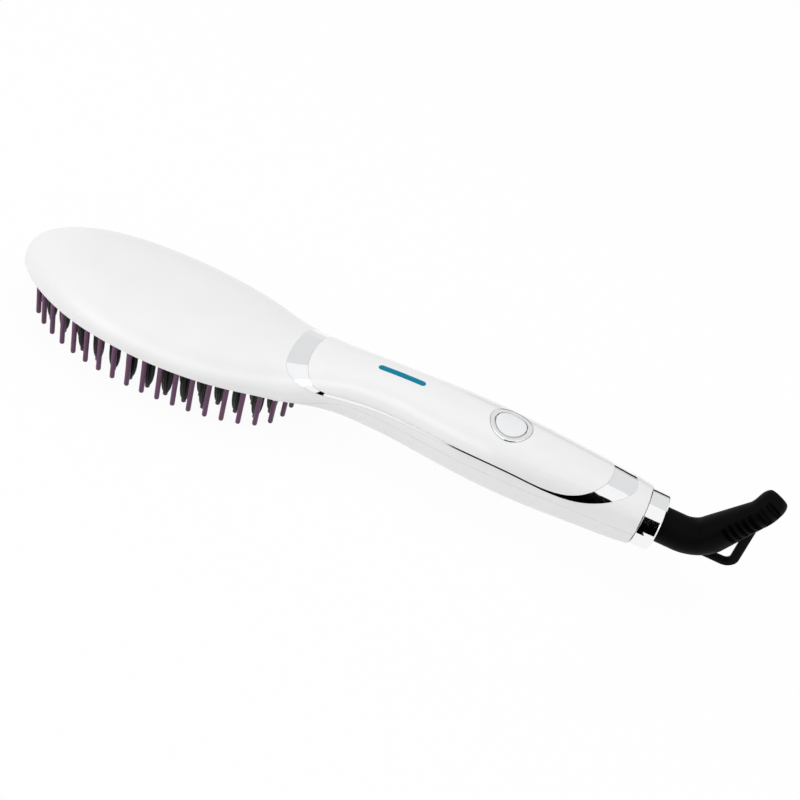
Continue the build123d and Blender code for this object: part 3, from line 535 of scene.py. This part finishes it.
def vane(half, turned):                           # one flat vane of the cross, root upwards
    mesh = bmesh.new()
    rising = [(stud["endRadius"], 0)]
    rising += [(half * out, stud["shoulder"] * up) for out, up in stud["vaneSteps"]]
    rising += [(half, studLength)]
    outline = [(-x, z) for x, z in reversed(rising)] + rising
    corners = [mesh.verts.new((x * mm, -stud["vane"] / 2 * mm, z * mm)) for x, z in outline]
    rim = mesh.faces.new(corners)
    far = bmesh.ops.extrude_face_region(mesh, geom=[rim])["geom"]
    farVerts = [item for item in far if isinstance(item, bmesh.types.BMVert)]
    bmesh.ops.translate(mesh, vec=(0, stud["vane"] * mm, 0), verts=farVerts)
    bmesh.ops.recalc_face_normals(mesh, faces=mesh.faces)
    longEdges = [edge for edge in mesh.edges
                 if abs(edge.verts[0].co.y - edge.verts[1].co.y) < stud["vane"] / 2 * mm]
    bmesh.ops.bevel(mesh, geom=longEdges, offset=stud["edge"] * mm, segments=1, profile=0.5,
                    affect="EDGES", material=-1)
    if turned:
        bmesh.ops.rotate(mesh, cent=(0, 0, 0), matrix=Matrix.Rotation(math.pi / 2, 3, "Z"),
                         verts=mesh.verts)
    data = bpy.data.meshes.new("vaneDraft")
    mesh.to_mesh(data)
    mesh.free()
    return data


nubProfile = [
    (0, 0),
    *roundedCorner(stud["nubRadius"] - stud["nubRound"], stud["nubRound"], stud["nubRound"], -90, 90, 4),
    (stud["nubRadius"], (nubHigh.z - nubLow.z) / mm),
    (0, (nubHigh.z - nubLow.z) / mm),
]
wide = vane(stud["halfWidth"], False)
deep = vane(stud["halfDepth"], True)
studMesh = bmesh.new()
nubMesh = bmesh.new()
for low, high in nubs:
    centre = Vector(((low.x + high.x) / 2, (low.y + high.y) / 2, 0))
    for draft in (wide, deep):
        known = len(studMesh.verts)
        studMesh.from_mesh(draft)
        studMesh.verts.ensure_lookup_table()
        bmesh.ops.translate(studMesh, vec=centre + alongZ * high.z, verts=studMesh.verts[known:])
    single = spun(nubProfile, centre + alongZ * low.z, alongZ, stud["nubSteps"])
    data = bpy.data.meshes.new("nubDraft")
    single.to_mesh(data)
    single.free()
    nubMesh.from_mesh(data)
    bpy.data.meshes.remove(data)
addPiece("studs", studMesh, "brush", ["finned_studs"], stud["crease"])
addPiece("studNubs", nubMesh, "brush", ["stud_tips"])
bpy.data.meshes.remove(wide)
bpy.data.meshes.remove(deep)
print("studs made:", len(nubs))


# end ring
endRing = {
    "radius": 12.1,
    "rearRound": 0.8,
    "frontRound": 0.25,
    "gap": 0.45,
    "mouth": 7.8,
    "faceDepth": 1.5,
    "boreRadius": 8.9,
    "spigotRadius": 10.1,
    "crease": 60.0,
    "steps": 128,
}
ringLow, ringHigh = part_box("end_ring")
swivel = [joint for joint in frame["joints"] if joint["name"] == "cord_swivel"][0]
axisHeight = swivel["pos_m"][2]
ringCentre = Vector((ringHigh.x, 0, axisHeight))
ringBack = (ringLow.x - ringHigh.x) / mm
ringFront = (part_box("upper_housing")[1].x - ringHigh.x) / mm + endRing["gap"]
endProfile = [
    (endRing["spigotRadius"], ringBack),
    (endRing["spigotRadius"], ringFront),
    (endRing["radius"] - endRing["frontRound"], ringFront),
    *roundedCorner(endRing["radius"] - endRing["frontRound"], ringFront + endRing["frontRound"],
                   endRing["frontRound"], -90, 90, 4),
    *roundedCorner(endRing["radius"] - endRing["rearRound"], -endRing["rearRound"],
                   endRing["rearRound"], 0, 90, 6),
    (endRing["mouth"] + endRing["frontRound"], 0),
    *roundedCorner(endRing["mouth"] + endRing["frontRound"], -endRing["frontRound"],
                   endRing["frontRound"], 90, 90, 4),
    (endRing["mouth"], -endRing["faceDepth"]),
    (endRing["boreRadius"], -endRing["faceDepth"]),
    (endRing["boreRadius"], ringBack),
    (endRing["spigotRadius"], ringBack),
]
endMesh = spun(endProfile, ringCentre, alongX, endRing["steps"])
addPiece("endCollar", endMesh, "brush", ["end_ring"], endRing["crease"])
print("end ring made")


# rubber boot with its ribs and hanging loop
boot = {
    "radius": 7.45,
    "tipRadius": 5.45,
    "faceDepth": 1.5,                             # how far the boot starts inside the ring
    "stub": 9.97,
    "elbowRadius": 13.0,
    "elbowTurn": 61.54,
    "climb": 20.94,
    "turnLength": 5.0,
    "turn": 38.0,
    "tip": 6.0,
    "tipRound": 2.3,
    "tipRoundLength": 4.6,
    "holeRadius": 3.0,
    "holeDepth": 6.0,
    "holeFlare": 0.08,
    "holeFlareDepth": 0.12,
    "step": 0.42,
    "fineStep": 0.12,
    "segments": 64,
    "ribPitch": 2.95,
    "ribStart": 8.6,
    "ribWidth": 1.35,
    "ribCoreShare": 0.62,
    "ribSpine": 3.4,
    "ribSpineMargin": 0.2,
    "ribRunOut": 0.35,                            # how far the groove's sides slope past its width
    "ribRamp": 0.5,
    "ribCount": 7,
    "loopStart": (14.05, -4.08),                  # from the ring's end and the swivel's axis
    "loopPitch": 1.2,
    "loopRun": 14.58,
    "loopTurn": 92.1,
    "loopCorner": 3.8,
    "loopRise": 18.5,
    "loopHalfWidth": 1.5,
    "loopHalfThickness": 1.45,
    "loopThickening": 0.4,                        # towards the boot's tip
    "loopSquareness": 3.2,
    "loopSegments": 24,
    "crease": 50.0,
}


# grows a tube along straight runs and even turns: (length, degrees, turning axis, stride)
def walk(mesh, start, heading, runs, radiusAt, segments):
    side = alongY.copy()
    ring = bmesh.ops.create_circle(mesh, cap_ends=False, radius=1.0, segments=segments)["verts"]
    edges = list({edge for vertex in ring for edge in vertex.link_edges})
    place, distance = start.copy(), 0.0
    shape = {vertex: vertex.co.copy() for vertex in ring}

    def settle():
        up = heading.cross(side)
        for vertex, flat in shape.items():
            out = side * flat.y + up * flat.x
            vertex.co = place + out * radiusAt(distance, flat) * mm

    settle()
    for length, degrees, axis, stride in runs:
        count = max(1, round(length / stride))
        swing = Matrix.Rotation(math.radians(degrees) / count, 3, axis)
        half = Matrix.Rotation(math.radians(degrees) / count / 2, 3, axis)
        for step in range(count):
            grown = bmesh.ops.extrude_edge_only(mesh, edges=edges)["geom"]
            newVerts = [item for item in grown if isinstance(item, bmesh.types.BMVert)]
            edges = [item for item in grown if isinstance(item, bmesh.types.BMEdge)
                     and item.verts[0] in newVerts and item.verts[1] in newVerts]
            partner = {}
            for vertex in newVerts:
                for edge in vertex.link_edges:
                    other = edge.other_vert(vertex)
                    if other not in newVerts:
                        partner[vertex] = other
            shape = {vertex: shape[partner[vertex]] for vertex in newVerts}
            place = place + (half @ heading) * (length / count) * mm
            heading = swing @ heading
            side = swing @ side
            distance += length / count
            settle()
    return edges, place, heading


bootMesh = bmesh.new()
bootStart = Vector((ringHigh.x - boot["faceDepth"] * mm, 0, axisHeight))
elbowLength = boot["elbowRadius"] * math.radians(boot["elbowTurn"])
climbAt = boot["stub"] + elbowLength
turnAt = climbAt + boot["climb"]
bootLength = turnAt + boot["turnLength"] + boot["tip"]
climbHeading = Matrix.Rotation(math.radians(-boot["elbowTurn"]), 3, "Y") @ alongX
turnAxis = climbHeading.cross(alongY)


def bootRadius(distance, flat):
    share = min(1.0, max(0.0, (distance - climbAt) / boot["climb"]))
    radius = boot["radius"] + (boot["tipRadius"] - boot["radius"]) * share
    left = bootLength - distance                  # the tip is rounded like a long fillet
    if left < boot["tipRoundLength"]:
        drop = 1 - left / boot["tipRoundLength"]
        radius -= boot["tipRound"] * (1 - math.sqrt(max(0.0, 1 - drop ** 2)))
    for number in range(boot["ribCount"]):
        middle = climbAt + boot["ribStart"] + number * boot["ribPitch"]
        near = 1 - abs(distance - middle) / (boot["ribWidth"] / 2)
        inSpine = abs(flat.x) * radius < boot["ribSpine"] + boot["ribSpineMargin"]
        if near > -boot["ribRunOut"] and abs(flat.y) > boot["ribCoreShare"] and inSpine:
            depth = min(1.0, max(0.0, (near + boot["ribRunOut"]) / boot["ribRamp"]))
            floorShare = boot["ribCoreShare"] / abs(flat.y)
            return radius * (1 - depth * (1 - floorShare))
    return radius


runs = [
    (boot["stub"], 0.0, "Y", boot["step"]),
    (elbowLength, -boot["elbowTurn"], "Y", boot["step"]),
    (boot["climb"], 0.0, "Y", boot["step"] / 2),
    (boot["turnLength"], boot["turn"], turnAxis, boot["step"] / 2),
    (boot["tip"] - boot["tipRoundLength"], 0.0, "Y", boot["step"]),
    (boot["tipRoundLength"], 0.0, "Y", boot["fineStep"]),
]
tipEdges, tipPlace, tipHeading = walk(bootMesh, bootStart, alongX.copy(), runs, bootRadius,
                                      boot["segments"])
tipRim = list({vertex for edge in tipEdges for vertex in edge.verts})
holeSteps = (
    (boot["holeRadius"] + boot["holeFlare"], 0.0),
    (boot["holeRadius"], boot["holeFlareDepth"]),
    (boot["holeRadius"], boot["holeDepth"]),
)
for reach, depth in holeSteps:
    grown = bmesh.ops.extrude_edge_only(bootMesh, edges=tipEdges)["geom"]
    newVerts = [item for item in grown if isinstance(item, bmesh.types.BMVert)]
    tipEdges = [item for item in grown if isinstance(item, bmesh.types.BMEdge)
                and item.verts[0] in newVerts and item.verts[1] in newVerts]
    for vertex in newVerts:
        out = vertex.co - tipPlace
        out -= tipHeading * out.dot(tipHeading)
        vertex.co = tipPlace + out.normalized() * reach * mm - tipHeading * depth * mm
bmesh.ops.holes_fill(bootMesh, edges=bootMesh.edges, sides=0)
bmesh.ops.recalc_face_normals(bootMesh, faces=bootMesh.faces)


def loopRadius(distance, flat):                   # a rounded rectangle, wide across the handle
    across = abs(flat.y) / boot["loopHalfWidth"]
    thickening = min(1.0, distance / (boot["loopRun"] + cornerLength)) ** 2
    upward = abs(flat.x) / (boot["loopHalfThickness"] + boot["loopThickening"] * thickening)
    power = boot["loopSquareness"]
    return (across ** power + upward ** power) ** (-1 / power)


loopMesh = bmesh.new()
loopOut, loopUp = boot["loopStart"]
loopStart = Vector((ringHigh.x + loopOut * mm, 0, axisHeight + loopUp * mm))
cornerLength = boot["loopCorner"] * math.radians(boot["loopTurn"])
loopHeading = Matrix.Rotation(math.radians(-boot["loopPitch"]), 3, "Y") @ alongX
loopRuns = [
    (boot["loopRun"], 0.0, "Y", boot["step"]),
    (cornerLength, -boot["loopTurn"], "Y", boot["step"]),
    (boot["loopRise"], 0.0, "Y", boot["step"]),
]
walk(loopMesh, loopStart, loopHeading, loopRuns, loopRadius, boot["loopSegments"])
bmesh.ops.holes_fill(loopMesh, edges=loopMesh.edges, sides=0)
bmesh.ops.recalc_face_normals(loopMesh, faces=loopMesh.faces)
loopDraft = bpy.data.meshes.new("loopDraft")
loopMesh.to_mesh(loopDraft)
loopMesh.free()
bootMesh.from_mesh(loopDraft)
bpy.data.meshes.remove(loopDraft)
addPiece("cordBoot", bootMesh, "cord_end", ["strain_relief"], boot["crease"])
print("boot made")


# shells, trim and panel: joined CAD triangles with smooth shading
shellCrease = 32.0
smoothPieces = {
    "shellUpper": "upper_housing",
    "shellLower": "lower_housing",
    "trimFrame": "chrome_trim",
    "panelInlay": "handle_panel",
    "bristleBed": "bristle_frame",
}
for name, source in smoothPieces.items():
    addPiece(name, mergedCopy(source), "brush", [source], shellCrease)
print("shells made")


# floor, backdrop and lights
studio = {
    "floorSize": 6.0,
    "floorColor": (0.9, 0.9, 0.9),
    "floorRoughness": 0.9,
    "floorDrop": 0.0002,
    "floorGlare": 0.95,
    "skyStrength": 0.67,
    "cards": {                                    # seen in mirrors only: centre, size, strength
        "frontCard": ((0.1175, -0.135, 0.088), (0.125, 0.140), 0.0),
        "lowCard": ((0.05, -0.135, 0.010), (0.28, 0.020), 0.0),
        "neckCard": ((-0.23, -0.135, 0.004), (0.28, 0.008), 0.0),
        "backCard": ((0.33, 0.42, 0.09), (0.66, 0.10), 0.0),
        "backStrip": ((0.33, 0.42, 0.175), (0.66, 0.014), 0.25),
        "backWall": ((0.0, 1.86, 0.3), (2.4, 0.6), 0.84),
        "softBox": ((-0.02, -0.9, 0.62), (2.0, 0.5), 2.0),
    },
    "levelCards": {                               # the same, lying level
        "ceiling": ((0.0, 0.95, 0.6), (2.4, 1.81), 0.80),
        "floorCard": ((0.08, -0.10, 0.0004), (0.09, 0.07), 0.0),
    },
    "lamps": {                                    # place, target, size, power
        "overhead": ((0.0, 0.1, 1.1), (0, 0, 0), (1.2, 0.8), 3.6),
        "frontLeft": ((-0.8, -0.8, 0.7), (0, 0, 0.03), (0.6, 0.9), 3.9),
    },
}


def flatPanel(name, width, height):
    panelMesh = bmesh.new()
    bmesh.ops.create_grid(panelMesh, x_segments=1, y_segments=1, size=0.5)
    bmesh.ops.scale(panelMesh, vec=(width, height, 1), verts=panelMesh.verts)
    data = bpy.data.meshes.new(name)
    panelMesh.to_mesh(data)
    panelMesh.free()
    panel = bpy.data.objects.new(name, data)
    bpy.context.scene.collection.objects.link(panel)
    return panel


floor = flatPanel("floor", studio["floorSize"], studio["floorSize"])
floor.data.transform(Matrix.Translation((0, 0, -studio["floorDrop"])))
floorLook = newLook("floorPaper")
floorLook.finish({"Base Color": rgb(*studio["floorColor"]), "Roughness": studio["floorRoughness"],
                  "Specular IOR Level": 0.0})
glare = floorLook.add("ShaderNodeEmission", {}, {"Color": rgb(1, 1, 1), "Strength": 1.0})
mixed = floorLook.add("ShaderNodeMixShader", {}, {
    0: floorLook.seen() * studio["floorGlare"],
    1: Signal(floorLook, floorLook.shader.outputs[0]),
    2: glare,
})
floorLook.feed(floorLook.tree.nodes["Material Output"].inputs["Surface"], mixed)
floor.data.materials.append(floorLook.owner)


def mirrorCard(name, size, place, strength):
    card = flatPanel(name, *size)
    card.data.transform(place)
    cardLook = newLook(name)
    cardLook.finish({"Base Color": rgb(0, 0, 0), "Specular IOR Level": 0.0,
                     "Emission Color": rgb(1, 1, 1), "Emission Strength": strength})
    card.data.materials.append(cardLook.owner)
    card.visible_camera = False
    card.visible_diffuse = False
    card.visible_shadow = False


for name, (centre, size, strength) in studio["cards"].items():
    upright = Matrix.Translation(centre) @ Matrix.Rotation(math.pi / 2, 4, "X")
    mirrorCard(name, size, upright, strength)
for name, (centre, size, strength) in studio["levelCards"].items():
    mirrorCard(name, size, Matrix.Translation(centre), strength)

air = Look(bpy.data.worlds.new("studioAir"), "Background")
bpy.context.scene.world = air.owner
bright = air.add("ShaderNodeBackground", {}, {"Color": rgb(1, 1, 1), "Strength": 1.0})
air.finish({"Color": rgb(1, 1, 1), "Strength": studio["skyStrength"]})
skyMix = air.add("ShaderNodeMixShader", {}, {
    0: air.seen(), 1: Signal(air, air.shader.outputs[0]), 2: bright,
})
air.feed(air.tree.nodes["World Output"].inputs["Surface"], skyMix)


def softLamp(name, place, target, size, power):
    lampData = bpy.data.lights.new(name, "AREA")
    lampData.shape = "RECTANGLE"
    lampData.size, lampData.size_y = size
    lampData.energy = power
    lamp = bpy.data.objects.new(name, lampData)
    bpy.context.scene.collection.objects.link(lamp)
    aim = (Vector(target) - Vector(place)).to_track_quat("-Z", "Y").to_matrix().to_4x4()
    lamp.matrix_world = Matrix.Translation(place) @ aim
    lamp.visible_glossy = False                   # polished metal shows no lamp


for name, (place, target, size, power) in studio["lamps"].items():
    softLamp(name, place, target, size, power)
bpy.context.scene.view_settings.view_transform = "Standard"
print("studio set")
